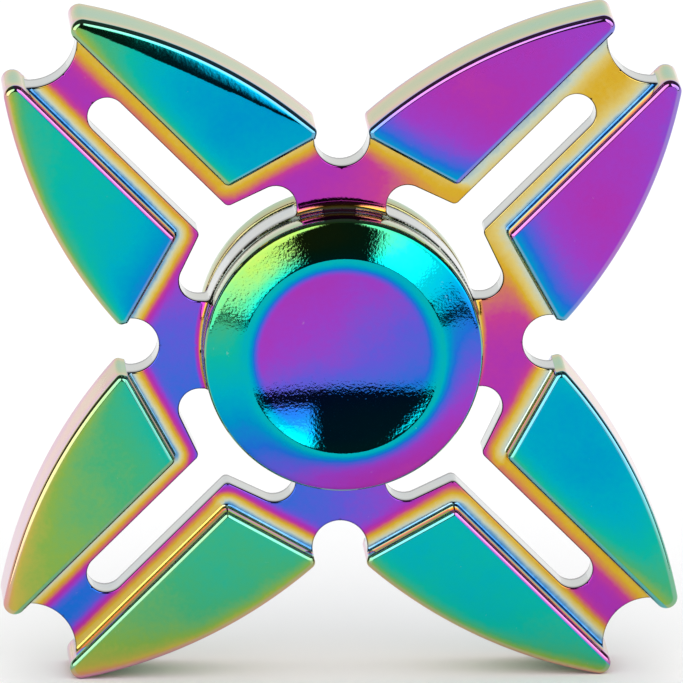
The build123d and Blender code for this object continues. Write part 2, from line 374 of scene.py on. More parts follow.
def crown(p, pad_d, roll_slope):
    """How far a pad's face falls away towards its edges, and along a facet rolled over at its outer edge."""
    slot, lean, outer = pad_sides(p)
    near = smooth_least([slot, lean, outer], CROWN_SOFT)
    fall = CROWN_DROP * np.exp(-np.clip(near, -1, 20) / CROWN_REACH)
    share = np.clip((p[:, 0] - HEEL[0]) / (TIP_U - HEEL[0]), 0, 1)
    width = ROLL_W * 4 * share * (1 - share)
    facet = ROLL_SOFT * np.log1p(np.exp(np.clip((width - outer) / ROLL_SOFT, -30, 30)))
    return np.where(pad_d > ON_PAD, fall + roll_slope * facet, 0)


# ---- triangles of one half arm ----
def offsets(path, distances, closed):
    """Points set off to the left of a path, a row for each distance."""
    ahead = np.roll(path, -1, axis=0) - path
    if not closed:
        ahead[-1] = ahead[-2]
    behind = np.roll(ahead, 1, axis=0)
    if not closed:
        behind[0] = ahead[0]
    ahead = ahead / np.linalg.norm(ahead, axis=1)[:, None]
    behind = behind / np.linalg.norm(behind, axis=1)[:, None]
    along = ahead + behind
    along = along / np.linalg.norm(along, axis=1)[:, None]
    left = np.column_stack([-along[:, 1], along[:, 0]])
    return [path + left * d for d in distances]


def ring_arc(radius):
    """Points round the ring between the two axes of a half arm, just short of each."""
    angles = np.linspace(RING_PAST, pi / 4 - RING_PAST, int(radius * pi / 4 / STEP))
    return np.column_stack([radius * np.cos(angles), radius * np.sin(angles)])


def half_arm_points(outline, wall):
    """Mesh points inside the half arm: rows beside every edge, and a field of points between them."""
    rows = []
    for d, row in zip(PAD_ROWS, offsets(PAD_PATH, PAD_ROWS, True)):
        rows.append(row[signed(row, PAD_PATH) > d - ROW_SLACK])
    for d, row in zip(FOOT_ROWS, offsets(wall, [-x for x in FOOT_ROWS], False)):
        rows.append(row[-signed(row, PAD_PATH) > d - ROW_SLACK])
    for d, row in zip(EDGE_ROWS, offsets(OPENING_PATH, EDGE_ROWS, False)):
        rows.append(row[distance_to(row, OPENING_PATH, False) > d - ROW_SLACK])
    for d, row in zip(EDGE_ROWS, offsets(FREE_EDGE, EDGE_ROWS, False)):
        clear = (distance_to(row, FREE_EDGE, False) > d - ROW_SLACK) & (signed(row, PAD_PATH) < -PAD_CLEAR)
        rows.append(row[clear])
    rows += [ring_arc(radius) for radius in RING_ROWS]
    low, high = outline.min(0), outline.max(0)
    across = np.arange(low[0], high[0], FILL)
    up = np.arange(low[1], high[1], FILL * sqrt(3) / 2)
    field = np.array([(x + (k % 2) * FILL / 2, y) for k, y in enumerate(up) for x in across])
    return rows, field


def thinned(rows, field, kept):
    """Drop the points that crowd another: rows first come, first kept, and the field stays clear of them."""
    points = [tuple(p) for p in kept]
    for group, gap in [(row, ROW_GAP) for row in rows] + [(field, FILL * FIELD_GAP)]:
        tree = kdtree.KDTree(len(points))
        for k, p in enumerate(points):
            tree.insert((p[0], p[1], 0), k)
        tree.balance()
        points += [tuple(p) for p in group if tree.find((p[0], p[1], 0))[2] > gap]
    return points


def half_arm_mesh():
    """Points and triangles that cover the half arm."""
    outline = half_arm()
    past_end = lean_end() + LEAN * WALL_PAST
    past_bridge = np.array([BRIDGE_U + WALL_PAST, PAD_EDGE_V])
    wall = joined(line(past_end, PAD_CORNER[0]), PAD_CORNER, line(PAD_CORNER[-1], past_bridge))
    strips = offsets(wall, (WALL_GAP, -WALL_GAP), False)
    for radius in (RING_R - WALL_GAP, RING_R + WALL_GAP):
        ends = [polar(CENTRE, radius, angle) for angle in (-RING_PAST, pi / 4 + RING_PAST)]
        strips.append(np.array(arc(CENTRE, radius, *ends)))
    rows, field = half_arm_points(outline, wall)
    fixed = [outline] + strips
    start = np.vstack(fixed)
    edges, first = [], 0
    for path, closed in [(outline, True)] + [(s, False) for s in strips]:
        n = len(path)
        edges += [(first + k, first + (k + 1) % n) for k in range(n if closed else n - 1)]
        first += n
    rows = [r[inside(r, outline) & (distance_to(r, outline, True) > ROW_GAP)] for r in rows]
    field = field[inside(field, outline) & (distance_to(field, outline, True) > FILL * OUTLINE_GAP)]
    points = thinned(rows, field, start)
    made = geometry.delaunay_2d_cdt([Vector(p) for p in points], edges, [], 0, 1e-5)
    verts = np.array([tuple(v) for v in made[0]])
    tris = np.array(made[2])
    centres = verts[tris].mean(1)
    tris = tris[inside(centres, outline)]
    used, tris = np.unique(tris, return_inverse=True)
    return verts[used], tris.reshape(-1, 3)


# ---- film on the casting ----
# Film runs from 0 to 1 along FILM_STOPS. A pad has the film in its middle, then how much that grows to
# the tip, along the outer edge, along the slot and along the leaning end. slot_edge is the film on the
# rolled edge beside the slot, beside and foot are the film on the web along that edge and in the fillet
# there, and lean_beside and lean_foot are the same at the leaning end. roll is the slope of the facet
# rolled over at the outer edge.
Pad = namedtuple("Pad", (
    "middle", "tip", "outer_rise", "slot_rise", "lean_rise", "beside", "roll", "slot_edge", "foot",
    "lean_beside", "lean_foot",
))
# by arm, from the upper right one anticlockwise, and by side, 1 being the anticlockwise side
PADS = {
    (0, 1): Pad(0.35, 0.05, 0.03, 0.04, 0.30, 0.07, 0.0, 0.50, 0.06, 0.18, 0.16),
    (0, -1): Pad(0.37, 0.05, 0.05, 0.00, 0.29, 0.10, 0.0, 0.35, 0.0, 0.11, 0.08),
    (1, 1): Pad(0.69, 0.05, 0.28, 0.00, -0.14, 0.08, 0.0, 0.34, 0.0, 0.07, 0.03),
    (1, -1): Pad(0.61, 0.14, 0.00, 0.20, 0.02, 0.18, 0.13, 0.82, 0.19, 0.16, 0.12),
    (2, 1): Pad(0.77, 0.08, 0.20, 0.00, -0.03, 0.14, 0.0, 0.80, 0.16, 0.06, 0.0),
    (2, -1): Pad(0.80, 0.07, 0.10, 0.00, -0.09, 0.12, 0.0, 0.80, 0.06, 0.09, 0.02),
    (3, 1): Pad(0.62, 0.12, 0.03, 0.20, 0.03, 0.18, 0.0, 0.70, 0.19, 0.10, 0.06),
    (3, -1): Pad(0.69, 0.05, 0.26, 0.00, 0.00, 0.06, 0.0, 0.34, 0.0, 0.10, 0.03),
}
TIP_STRETCH = 1.15           # the growth to the tip is complete after 1 / TIP_STRETCH of the way there
OUTER_FADE = 0.75            # distances over which the growth fades from each edge
SLOT_FADE = 1.0
LEAN_FADE = 2.6
SLOT_EDGE_REACH = 0.8        # share of the rolled edge's width that has the slot edge's own film
SLOT_EDGE_SOFT = 0.25        # and the share over which it then fades into the face's
LEAN_BLEND = 0.3             # half the width over which the web's film changes past a pad's corner
EDGE_WEAR = 0.25             # how far the film is worn to silver on every rolled edge of the claws
WEAR_REACH = 0.7             # share of the rolled edge's width that is fully worn
WEAR_SOFT = 0.3              # and the share over which the wear then fades out
WEB_FILM = 0.37
WEB_MORE = 0.17              # how much the web's film grows towards WEB_SWING_DEG
WEB_LESS = 0.19              # and thins on the opposite side
WEB_SWING_DEG = 222.0
WEB_REACH = 1.75             # how far from a pad its own film on the web reaches
RING_FILM = 0.07             # film on the ring, which ends RING_FADE outside RING_FILM_R
RING_FILM_R = 13.35
RING_FADE = 0.75
FOOT_REACH = 0.9             # how far the foot's film spreads on the web
PAD_WALL_FILM = 0.80
PAD_WALL_SIDE = 0.20         # more of it on walls that face sideways
PAD_WALL_FRONT = 0.14        # and beside the faces
WEB_WALL_FILM = 0.08
WEB_WALL_PALE = 0.6          # how far the walls of the web are worn to silver
WALL_PALE = 0.25             # and the other walls
PAINTED_DARK_EDGE_W = 0.17                 # width of the painted dark reflection line on the web along its edges
PAINTED_DARK_WALL_EDGE = 0.32            # and of that painted dark reflection line on the web's walls, as a share of half their height
INSIDE = 0.99998             # keeps the casting just inside the CAD model's box


def fading(gap, reach):
    """1 at an edge, falling off with the distance from it."""
    return np.exp(-np.clip(gap, 0, None) / reach)


def pad_film(p, pad):
    """Film on a pad's face."""
    slot, lean, outer = pad_sides(p)
    out = ease((p[:, 0] - PAD_INNER_U) / (TIP_U - PAD_INNER_U) * TIP_STRETCH)
    film = pad.middle + pad.tip * out ** 2
    film = film + pad.outer_rise * fading(outer, OUTER_FADE)
    film = film + pad.slot_rise * fading(slot, SLOT_FADE)
    film = film + pad.lean_rise * fading(lean, LEAN_FADE)
    on_edge = 1 - ease((slot - BEVEL_W * SLOT_EDGE_REACH) / (BEVEL_W * SLOT_EDGE_SOFT))
    return film + (pad.slot_edge - film) * on_edge


def past_lean(p, along_slot, past_end):
    """One value on the web along a pad's slot edge, another past its leaning end."""
    past = -((p - PAD_INNER) @ LEAN_NORMAL)
    return along_slot + (past_end - along_slot) * ease((past + LEAN_BLEND) / (2 * LEAN_BLEND))


def web_film(place, gaps, nearest):
    """Film on the web away from the ring, from the gaps to the pads around and the film beside each."""
    swing = np.cos(np.arctan2(place[:, 1], place[:, 0]) - radians(WEB_SWING_DEG))
    far = WEB_FILM + WEB_MORE * np.clip(swing, 0, 1) - WEB_LESS * np.clip(-swing, 0, 1) ** 6
    weights = [np.exp(-(np.clip(gap, 0, 9) / WEB_REACH) ** 3) for gap in gaps]
    total = np.maximum(sum(weights), 1e-9)
    near = sum(w * n for w, n in zip(weights, nearest)) / total
    return far + (near - far) * np.minimum(total, 1)


def turned(p, arm, side):
    """Points of the half arm in the casting's own plane: x to the right, z up."""
    angle = radians(FIRST_ARM_DEG + arm * 360 / ARMS)
    u, v = p[:, 0], p[:, 1] * side
    return np.column_stack([u * cos(angle) - v * sin(angle), u * sin(angle) + v * cos(angle)])


def film_on_half_arm(p, pad_d, place, arm, side):
    """Film on one half arm's front face, on its pad and on the web around it."""
    pad, mate, neighbour = PADS[arm, side], PADS[arm, -side], PADS[(arm + side) % ARMS, -side]
    over_arm, over_neck = p * (1, -1), p[:, ::-1]
    gaps = (-pad_d, -signed(over_arm, PAD_PATH), -signed(over_neck, PAD_PATH))
    nearest = (
        past_lean(p, pad.beside, pad.lean_beside),
        past_lean(over_arm, mate.beside, mate.lean_beside),
        past_lean(over_neck, neighbour.beside, neighbour.lean_beside),
    )
    web = web_film(place, gaps, nearest)
    web = web + (past_lean(p, pad.foot, pad.lean_foot) - web) * (1 - ease(-pad_d / FOOT_REACH))
    off_ring = np.hypot(p[:, 0], p[:, 1]) - RING_FILM_R
    web = web + (RING_FILM - web) * (1 - ease(off_ring / RING_FADE))
    return np.where(pad_d > ON_PAD, pad_film(p, pad), web)


def face_of_casting():
    """The casting's front face: places, triangles, and for every point its height, two slopes, film, painted
    dark reflection line, whether it is on a pad, and wear."""
    p, tris = half_arm_mesh()
    pad_d = signed(p, PAD_PATH)
    on_pad = pad_d > ON_PAD
    shifts = (np.array([NORMAL_STEP, 0.0]), np.array([0.0, NORMAL_STEP]))
    # painted dark reflection line on the web along its open edges, none on the pads
    arris = np.where(on_pad, 0, 1 - ease(free_edge_gap(p) / PAINTED_DARK_EDGE_W))
    worn = np.where(on_pad, EDGE_WEAR * (1 - ease((pad_d - BEVEL_W * WEAR_REACH) / (BEVEL_W * WEAR_SOFT))), 0)
    base = base_height(p, pad_d)
    steps = [base_height(p + d, signed(p + d, PAD_PATH)) for d in shifts]
    places, triangles, data = [], [], []
    for arm, side in [(arm, side) for arm in range(ARMS) for side in (1, -1)]:
        roll = PADS[arm, side].roll
        place = turned(p, arm, side)
        height = base - crown(p, pad_d, roll)
        slope = [(step - crown(p + d, pad_d, roll) - height) / NORMAL_STEP for step, d in zip(steps, shifts)]
        slope = turned(np.column_stack(slope), arm, side)
        film = film_on_half_arm(p, pad_d, place, arm, side)
        triangles.append((tris if side > 0 else tris[:, ::-1]) + len(p) * len(places))
        places.append(place)
        data.append(np.column_stack([height, slope, film, arris, on_pad, worn]))
    places = np.vstack(places)
    grid = np.round(places * MERGE_GRID).astype(np.int64)
    _, first, back = np.unique(grid, axis=0, return_index=True, return_inverse=True)
    return places[first], back.reshape(-1)[np.vstack(triangles)], np.vstack(data)[first]


def rim_of(tris):
    """Directed edges that only one triangle has."""
    sides = np.vstack([tris[:, [0, 1]], tris[:, [1, 2]], tris[:, [2, 0]]])
    known = set(map(tuple, sides.tolist()))
    return [(a, b) for a, b in known if (b, a) not in known]


def outward(place, rim):
    """Outward direction in the casting's plane at the rim's points, zero elsewhere, and those points."""
    out = np.zeros((len(place), 2))
    for a, b in rim:
        run = place[b] - place[a]
        normal = np.array([run[1], -run[0]]) / (hypot(*run) + 1e-12)
        out[a] += normal
        out[b] += normal
    points = sorted({a for a, _ in rim})
    out[points] /= np.linalg.norm(out[points], axis=1)[:, None]
    return out, points


def casting_mesh():
    """The whole casting as one closed mesh: points, faces, normals and numbers for the material."""
    place, tris, data = face_of_casting()
    slope = data[:, 1:3]
    height, film, arris, on_pad, worn = data[:, [0, 3, 4, 5, 6]].T
    n = len(place)
    rim = rim_of(tris)
    out, index = outward(place, rim)
    front = np.column_stack([place[:, 0], -height, place[:, 1]])
    lean = np.column_stack([-slope[:, 0], -np.ones(n), -slope[:, 1]])
    lean[index] = np.column_stack([out[index, 0], np.zeros(len(index)), out[index, 1]])
    lean /= np.linalg.norm(lean, axis=1)[:, None]
    flip = np.array([1, -1, 1])
    verts, normals = [front, front * flip], [lean, lean * flip]
    # the third list holds the painted dark reflection line, front and back
    films, pales, painted_dark_lines = [film, film], [worn, worn], [arris, arris]
    faces = [tuple(t) for t in tris] + [tuple(t) for t in tris[:, ::-1] + n]
    last = len(WALL_SHARES) - 1
    row_of = {0: {k: k for k in index}, last: {k: k + n for k in index}}
    under_pad = on_pad[index] > 0
    pad_wall = PAD_WALL_FILM + PAD_WALL_SIDE * out[index, 0] ** 2
    for row, share in enumerate(WALL_SHARES[1:-1], 1):
        level = front[index].copy()
        level[:, 1] *= 1 - 2 * share
        row_of[row] = {k: sum(len(v) for v in verts) + i for i, k in enumerate(index)}
        verts.append(level)
        normals.append(lean[index])
        to_face = abs(1 - 2 * share)
        films.append(np.where(under_pad, pad_wall + PAD_WALL_FRONT * to_face ** 3, WEB_WALL_FILM))
        pales.append(np.where(under_pad, WALL_PALE, WEB_WALL_PALE))
        # painted dark reflection line on the web's walls beside its faces
        painted_dark_lines.append(np.where(under_pad, 0.0, 1 - ease((1 - to_face) / PAINTED_DARK_WALL_EDGE)))
    for a, b in rim:
        for row in range(last):
            over, under = row_of[row], row_of[row + 1]
            faces.append((over[a], under[a], under[b], over[b]))
    values = {"film": np.hstack(films), "pale": np.hstack(pales), "arris": np.hstack(painted_dark_lines)}
    return np.vstack(verts) * MM * INSIDE, faces, np.vstack(normals), values


def mesh_object(name, verts, faces, normals, values, material):
    """A smooth mesh with its own normals, and numbers for the material at every point."""
    mesh = bpy.data.meshes.new(name)
    mesh.from_pydata([tuple(v) for v in verts], [], [tuple(int(k) for k in f) for f in faces])
    mesh.shade_smooth()
    for label, numbers in values.items():
        layer = mesh.attributes.new(label, "FLOAT", "POINT")
        layer.data.foreach_set("value", np.asarray(numbers, np.float32))
    mesh.normals_split_custom_set_from_vertices([tuple(v) for v in normals])
    mesh.materials.append(material)
    made = bpy.data.objects.new(name, mesh)
    bpy.context.scene.collection.objects.link(made)
    return made


# ---- caps ----
CAP_EDGE_R = 0.7
RIM_OUTER_R = 0.5            # roundings at the two sides of the rim's land
RIM_INNER_R = 1.0
CAP_BREAK_R = 0.12           # broken edges on the hidden side
DISH_STEPS = 40
LONG_RUN = 2.5               # straight runs longer than this are cut into BEVEL_STEPS
BEVEL_STEPS = 14
CAP_RIM_FILM = 0.68          # film on the rim, where the bevel's and the dish's both end
CAP_WALL_FILM = 0.90
CAP_WALL_THINS = 0.03        # by this much for each millimetre out along the axis
BEVEL_FILM = 0.60
BEVEL_MORE = 0.25            # more of it towards the bevel's upper left, less on the opposite side
BEVEL_TURN_DEG = 30
BEVEL_FADE = 0.9
DISH_FILM = 0.46
DISH_HALF = 8                # the dish's film changes by these over this far from its middle:
DISH_LOWER = 0.06
DISH_RIGHTER = 0.045
DISH_BOTTOM = 0.09           # and by this in its lower half
DISH_BOTTOM_REACH = 7
DISH_FILM_R = 7.9            # outside this it changes to the rim's, over DISH_FADE
DISH_FADE = 1.6


def rounded(corners, radii):
    """A path through corners, each rounded by its radius, or left sharp at zero."""
    path = [corners[0]]
    for k in range(1, len(corners) - 1):
        here = corners[k]
        before, after = corners[k - 1] - here, corners[k + 1] - here
        before, after = before / np.linalg.norm(before), after / np.linalg.norm(after)
        if radii[k] > 0:
            path += corner_fillet(here, before, after, radii[k])
        else:
            path.append(here)
    path.append(corners[-1])
    return path


def cap_profile():
    """Half section of a cap as (radius, y), from the tapped hole round the outside to the dish's middle."""
    dish_r = RIM_R - RIM_LAND
    floor_y = RIM_Y - DISH_DEPTH
    sphere_r = (dish_r ** 2 + DISH_DEPTH ** 2) / (2 * DISH_DEPTH)
    swing = asin(dish_r / sphere_r)
    dish = [
        np.array([sphere_r * sin(a), floor_y + sphere_r * (1 - cos(a))])
        for a in np.linspace(swing, 0, DISH_STEPS)
    ]
    corners = [
        (0, TAP_END_Y), (TAP_R, TAP_END_Y), (TAP_R, POST_END_Y), (POST_R, POST_END_Y),
        (POST_R, BEARING_HALF_W), (BOSS_R, BEARING_HALF_W), (BOSS_R, CAP_UNDER_Y), (CAP_R, CAP_UNDER_Y),
        (CAP_R, CAP_EDGE_Y), (RIM_R, RIM_Y), (dish_r, RIM_Y),
    ]
    corners = [np.array(c, float) for c in corners] + [dish[1]]
    broken = CAP_BREAK_R
    radii = [0, 0, broken, broken, 0, broken, 0, broken, CAP_EDGE_R, RIM_OUTER_R, RIM_INNER_R, 0]
    path = rounded(corners, radii) + dish[2:]
    fine = [path[0]]
    for point in path[1:]:
        steps = BEVEL_STEPS if np.linalg.norm(point - fine[-1]) > LONG_RUN else 1
        start = fine[-1]
        fine += [start + (point - start) * k / steps for k in range(1, steps + 1)]
    return np.array([p for k, p in enumerate(fine) if k == 0 or np.linalg.norm(p - fine[k - 1]) > 1e-5])


def profile_normals(path):
    """Outward normals along a section whose solid lies on its left."""
    run = np.diff(path, axis=0)
    run /= np.linalg.norm(run, axis=1)[:, None]
    ahead = np.vstack([run, run[-1:]])
    behind = np.vstack([run[:1], run])
    along = ahead + behind
    along /= np.linalg.norm(along, axis=1)[:, None] + 1e-12
    return np.column_stack([along[:, 1], -along[:, 0]])


def cap_film(radius, y, right, up):
    """Film and paleness on a cap: one run of colours round the bevel, another across the dish."""
    clock = np.arctan2(right, up)
    bevel = BEVEL_FILM + BEVEL_MORE * np.cos(clock + radians(BEVEL_TURN_DEG))
    bevel = bevel + (CAP_RIM_FILM - bevel) * fading(radius - RIM_R, BEVEL_FADE)
    dish = DISH_FILM - DISH_LOWER * up / DISH_HALF + DISH_RIGHTER * right / DISH_HALF
    dish = dish + DISH_BOTTOM * ease(-up / DISH_BOTTOM_REACH)
    dish = dish + (CAP_RIM_FILM - dish) * ease((radius - DISH_FILM_R) / DISH_FADE)
    film = np.where(radius > RIM_R, bevel, dish)
    wall = (y < CAP_EDGE_Y - 0.05) & ((radius > CAP_R - CAP_EDGE_R) | (y < TAP_END_Y + 0.01))
    on_wall = CAP_WALL_FILM - CAP_WALL_THINS * (y - CAP_UNDER_Y)
    return np.where(wall, on_wall, film), np.where(wall, WALL_PALE, 0.0)


def cap_mesh(facing):
    """A cap as one closed turned mesh; facing is -1 for the front one and 1 for the rear one."""
    path = cap_profile()
    slopes = profile_normals(path)
    angles = np.linspace(0, 2 * pi, CAP_SEGMENTS, endpoint=False)
    verts, normals, ring_start = [], [], []
    for (radius, y), (out, over) in zip(path, slopes):
        ring_start.append(len(verts))
        if radius < 1e-9:
            verts.append((0, facing * y, 0))
            normals.append((0, facing * np.sign(over), 0))
            continue
        for a in angles:
            verts.append((radius * cos(a), facing * y, radius * sin(a)))
            normals.append((out * cos(a), facing * over, out * sin(a)))
    faces = []
    for k in range(len(path) - 1):
        a, b = ring_start[k], ring_start[k + 1]
        single_a, single_b = path[k][0] < 1e-9, path[k + 1][0] < 1e-9
        for j in range(CAP_SEGMENTS):
            n = (j + 1) % CAP_SEGMENTS
            if single_a:
                face = (a, b + n, b + j)
            elif single_b:
                face = (a + j, a + n, b)
            else:
                face = (a + j, a + n, b + n, b + j)
            faces.append(face if facing < 0 else face[::-1])
    verts = np.array(verts)
    radius = np.hypot(verts[:, 0], verts[:, 2])
    film, pale = cap_film(radius, np.abs(verts[:, 1]), verts[:, 0] * -facing, verts[:, 2])
    return verts * MM, faces, np.array(normals), {"film": film, "pale": pale, "arris": np.zeros(len(verts))}


# ---- materials ----
# the film's colour as it grows, as display values
FILM_STOPS = [
    (0.00, (0.10, 0.40, 0.68)), (0.035, (0.42, 0.62, 0.76)), (0.08, (0.76, 0.80, 0.72)),
    (0.13, (0.84, 0.76, 0.45)), (0.19, (0.82, 0.66, 0.17)), (0.25, (0.80, 0.48, 0.33)),
    (0.31, (0.75, 0.24, 0.56)), (0.37, (0.66, 0.20, 0.67)), (0.42, (0.60, 0.24, 0.75)),
    (0.48, (0.38, 0.34, 0.82)), (0.54, (0.12, 0.42, 0.82)), (0.60, (0.00, 0.56, 0.77)),
    (0.66, (0.00, 0.66, 0.74)), (0.72, (0.05, 0.70, 0.62)), (0.78, (0.26, 0.68, 0.47)),
    (0.84, (0.52, 0.68, 0.30)), (0.90, (0.76, 0.68, 0.30)), (0.95, (0.85, 0.56, 0.42)),
    (1.00, (0.80, 0.45, 0.62)),
]
SILVER = (0.56, 0.56, 0.61, 1)           # where the film is pale
BARE_METAL = (0.62, 0.60, 0.56, 1)       # in scattered specks
PAINTED_DARK_TONE = (0.02, 0.02, 0.035, 1)       # the painted dark reflection line
PAINTED_DARK_DEPTH = 0.85


def linear(colour):
    return [c / 12.92 if c <= 0.04045 else ((c + 0.055) / 1.055) ** 2.4 for c in colour] + [1.0]


def node(tree, kind, **settings):
    made = tree.nodes.new(kind)
    for name, value in settings.items():
        setattr(made, name, value)
    return made


def feed(tree, socket, value):
    """Link a socket to an output, or set it to a number or a colour."""
    if isinstance(value, bpy.types.NodeSocket):
        tree.links.new(value, socket)
    else:
        socket.default_value = value


def calc(tree, operation, *values):
    """A Math node."""
    made = node(tree, "ShaderNodeMath", operation=operation)
    for socket, value in zip(made.inputs, values):
        feed(tree, socket, value)
    return made.outputs[0]


def remap(tree, value, low, high, to_low, to_high, smooth=False):
    made = node(tree, "ShaderNodeMapRange", interpolation_type="SMOOTHSTEP" if smooth else "LINEAR")
    for socket, number in zip(made.inputs, (value, low, high, to_low, to_high)):
        feed(tree, socket, number)
    return made.outputs[0]


def noise(tree, place, size, detail=2.0, roughness=0.5):
    """Noise whose grain is about size millimetres."""
    made = node(tree, "ShaderNodeTexNoise")
    feed(tree, made.inputs["Vector"], place)
    feed(tree, made.inputs["Scale"], 1 / (size * MM))
    feed(tree, made.inputs["Detail"], detail)
    feed(tree, made.inputs["Roughness"], roughness)
    return made.outputs["Fac"]


def blank_material(name):
    made = bpy.data.materials.new(name)
    made.use_nodes = True
    tree = made.node_tree
    shader = tree.nodes["Principled BSDF"]
    place = node(tree, "ShaderNodeTexCoord").outputs["Object"]
    return made, tree, shader, place


def bumped(tree, layers):
    """A normal from several bumps, each a height and how deep it is in millimetres."""
    normal = None
    for height, depth in layers:
        bump = node(tree, "ShaderNodeBump")
        feed(tree, bump.inputs["Height"], height)
        feed(tree, bump.inputs["Strength"], 1.0)
        feed(tree, bump.inputs["Distance"], depth * MM)
        if normal is not None:
            feed(tree, bump.inputs["Normal"], normal)
        normal = bump.outputs["Normal"]
    return normal


def attribute(tree, name):
    return node(tree, "ShaderNodeAttribute", attribute_name=name).outputs["Fac"]


def blended(tree, share, under, over):
    """One colour fading into another, a plain one, by a share that varies over the surface."""
    made = node(tree, "ShaderNodeMix", data_type="RGBA")
    feed(tree, made.inputs["Factor"], share)
    feed(tree, made.inputs["A"], under)
    made.inputs["B"].default_value = over
    return made.outputs["Result"]


def plating(name, grain_depth, wave_depth, smooth_roughness, rough_roughness):
    """Bright plating under a coloured film: the mesh's film number sets the colour, and a painted dark
    reflection line darkens it along the web's edges.
    """
    made, tree, shader, place = blank_material(name)
    drift = remap(tree, noise(tree, place, 5.0, 3.0), 0.3, 0.7, -0.012, 0.012)
    mottle = remap(tree, noise(tree, place, 0.5, 2.0), 0.3, 0.7, -0.006, 0.006)
    film = calc(tree, "ADD", calc(tree, "ADD", attribute(tree, "film"), drift), mottle)
    ramp = node(tree, "ShaderNodeValToRGB")
    feed(tree, ramp.inputs["Fac"], film)
    stops = ramp.color_ramp.elements
    while len(stops) < len(FILM_STOPS):
        stops.new(0.5)
    for stop, (position, colour) in zip(stops, FILM_STOPS):
        stop.position = position
        stop.color = linear(colour)
    colour = blended(tree, attribute(tree, "pale"), ramp.outputs["Color"], SILVER)
    specks = remap(tree, noise(tree, place, 1.3, 5.0, 0.7), 0.70, 0.76, 0.0, 0.35)
    colour = blended(tree, specks, colour, BARE_METAL)
    # darkens the colour along the painted dark reflection line
    painted_dark_line = calc(tree, "MULTIPLY", attribute(tree, "arris"), PAINTED_DARK_DEPTH)
    feed(tree, shader.inputs["Base Color"], blended(tree, painted_dark_line, colour, PAINTED_DARK_TONE))
    feed(tree, shader.inputs["Metallic"], 1.0)
    patch = remap(tree, noise(tree, place, 2.2, 3.0), 0.3, 0.7, smooth_roughness, rough_roughness)
    feed(tree, shader.inputs["Roughness"], patch)
    waves = noise(tree, place, 2.4, 2.0)
    grain = noise(tree, place, 0.26, 2.0)
    feed(tree, shader.inputs["Normal"], bumped(tree, [(waves, wave_depth), (grain, grain_depth)]))
    return made


def steel(name, colour, grain, roughness, lathe_marks):
    """Plain steel with turned marks, faint stains and a varied polish."""
    made, tree, shader, place = blank_material(name)
    stain = node(tree, "ShaderNodeMix", data_type="RGBA")
    feed(tree, stain.inputs["Factor"], remap(tree, noise(tree, place, 1.6, 4.0), 0.35, 0.7, 0.0, 0.6))
    stain.inputs["A"].default_value = linear(colour)
    stain.inputs["B"].default_value = linear([c * 0.82 for c in colour])
    feed(tree, shader.inputs["Base Color"], stain.outputs["Result"])
    feed(tree, shader.inputs["Metallic"], 1.0)
    polish = remap(tree, noise(tree, place, 0.9, 3.0), 0.3, 0.7, roughness * 0.7, roughness * 1.4)
    feed(tree, shader.inputs["Roughness"], polish)
    rings = node(tree, "ShaderNodeTexWave", wave_type="RINGS", rings_direction="Y")
    feed(tree, rings.inputs["Vector"], place)
    feed(tree, rings.inputs["Scale"], 1 / (0.35 * MM))
    feed(tree, rings.inputs["Distortion"], 1.5)
    layers = [(noise(tree, place, grain, 3.0), 0.002)]
    if lathe_marks:
        layers.append((rings.outputs["Fac"], 0.0008))
    feed(tree, shader.inputs["Normal"], bumped(tree, layers))
    return made


def floor_material():
    """Matt white sweep with a faint paper grain."""
    made, tree, shader, place = blank_material("white_floor")
    tone = node(tree, "ShaderNodeMix", data_type="RGBA")
    feed(tree, tone.inputs["Factor"], noise(tree, place, 40.0, 3.0))
    tone.inputs["A"].default_value = (0.93, 0.93, 0.93, 1)
    tone.inputs["B"].default_value = (0.91, 0.91, 0.91, 1)
    feed(tree, shader.inputs["Base Color"], tone.outputs["Result"])
    feed(tree, shader.inputs["Roughness"], 0.9)
    feed(tree, shader.inputs["Specular IOR Level"], 0.1)
    return made


# ---- light ----
# Glossy rays see a dark studio with softboxes at the left and right, a backdrop behind and the table's far
# reach; all other rays see an even white. Sideways is the angle from the upright plane through front and
# back, to the right. Pitch runs over the top: 0 in front, 90 overhead, 180 behind.
# Each panel: sideways from and to, pitch from and to, in degrees, softness of its edge, brightness.
PANELS = [
    ("right_box", 10.5, 78, -1, 52, 1.0, 1.6),
    ("right_hot", 10.5, 21, 3, 52, 1.5, 3.0),
    ("right_wing", 24, 78, -3.8, 2, 1.0, 1.5),
    ("right_high", 10.5, 78, 18, 50, 3.0, 2.6),
    ("left_high", -78, -6, 18, 50, 3.0, 2.6),
    ("backdrop", -95, 95, 152, 190, 3.0, 0.95),
    ("above", -95, 95, 52, 152, 6.0, 0.06),
]
LEFT_BOX = (-85, -15.5, -5, 52, 1.0, 2.3)
LEFT_BOX_LEAN = 0.85         # it shifts to the right by this much for each degree of pitch
LEFT_BOX_LEAN_END = 10.0     # up to this pitch
TABLE_END = -6.0             # elevation of the table's far edge
TABLE_SOFT = 0.7
TABLE_BRIGHT = 1.05
STUDIO_DARK = 0.02
EVEN_LIGHT = 1.16            # what every ray that isn't glossy sees


def window(tree, value, low, high, soft):
    up = remap(tree, value, low - soft, low + soft, 0.0, 1.0, True)
    down = remap(tree, value, high - soft, high + soft, 1.0, 0.0, True)
    return calc(tree, "MULTIPLY", up, down)


def softbox(tree, level, sideways, pitch, left, right, low, high, soft, bright):
    """The brighter of a light level and a softbox."""
    across = window(tree, sideways, left, right, soft)
    panel = calc(tree, "MULTIPLY", across, window(tree, pitch, low, high, soft))
    return calc(tree, "MAXIMUM", level, calc(tree, "MULTIPLY", panel, bright))


